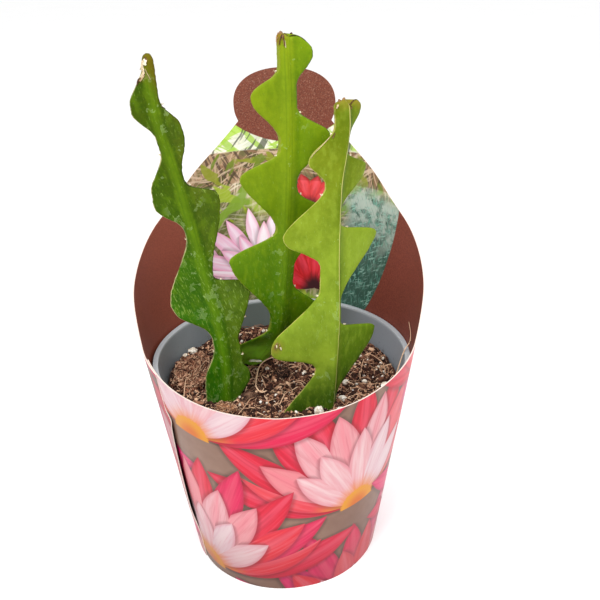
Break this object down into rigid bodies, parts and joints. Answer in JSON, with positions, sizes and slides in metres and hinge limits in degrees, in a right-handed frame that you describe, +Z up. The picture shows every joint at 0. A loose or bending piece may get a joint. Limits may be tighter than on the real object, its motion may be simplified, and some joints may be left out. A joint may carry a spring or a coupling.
{
  "type": "potted zigzag cactus",
  "caption": "Rooted cuttings of a cactus with flat zigzag-lobed stems in a plastic nursery pot, inside a tall printed card sleeve with a round tab.",
  "frame": {"origin": "centre of the underside of the nursery pot, where it stands on a surface", "axes": "+Z up, -Y towards the low front of the card sleeve, +Y towards its tall shield and tab, +X to the right seen from the front"},
  "size_m": [0.13, 0.1377, 0.241],
  "materials": {
    "pot_plastic": "satin",
    "printed_card": "satin",
    "soil": "matte",
    "left_stem_skin": "satin",
    "middle_stem_skin": "satin",
    "right_stem_skin": "satin",
    "coir": "matte",
    "bark": "matte",
    "perlite": "matte"
  },
  "bodies": {
    "root": {"nursery_pot": "pot_plastic", "card_sleeve": "printed_card", "potting_soil": "soil", "left_stem": "left_stem_skin", "middle_stem": "middle_stem_skin", "right_stem": "right_stem_skin", "coir_clod": "coir", "small_clod": "coir", "bark_chip": "bark", "dark_clod": "bark", "perlite_1": "perlite", "perlite_2": "perlite", "perlite_3": "perlite", "perlite_4": "perlite", "perlite_5": "perlite", "perlite_6": "perlite", "perlite_7": "perlite", "perlite_8": "perlite"}
  },
  "joints": []
}
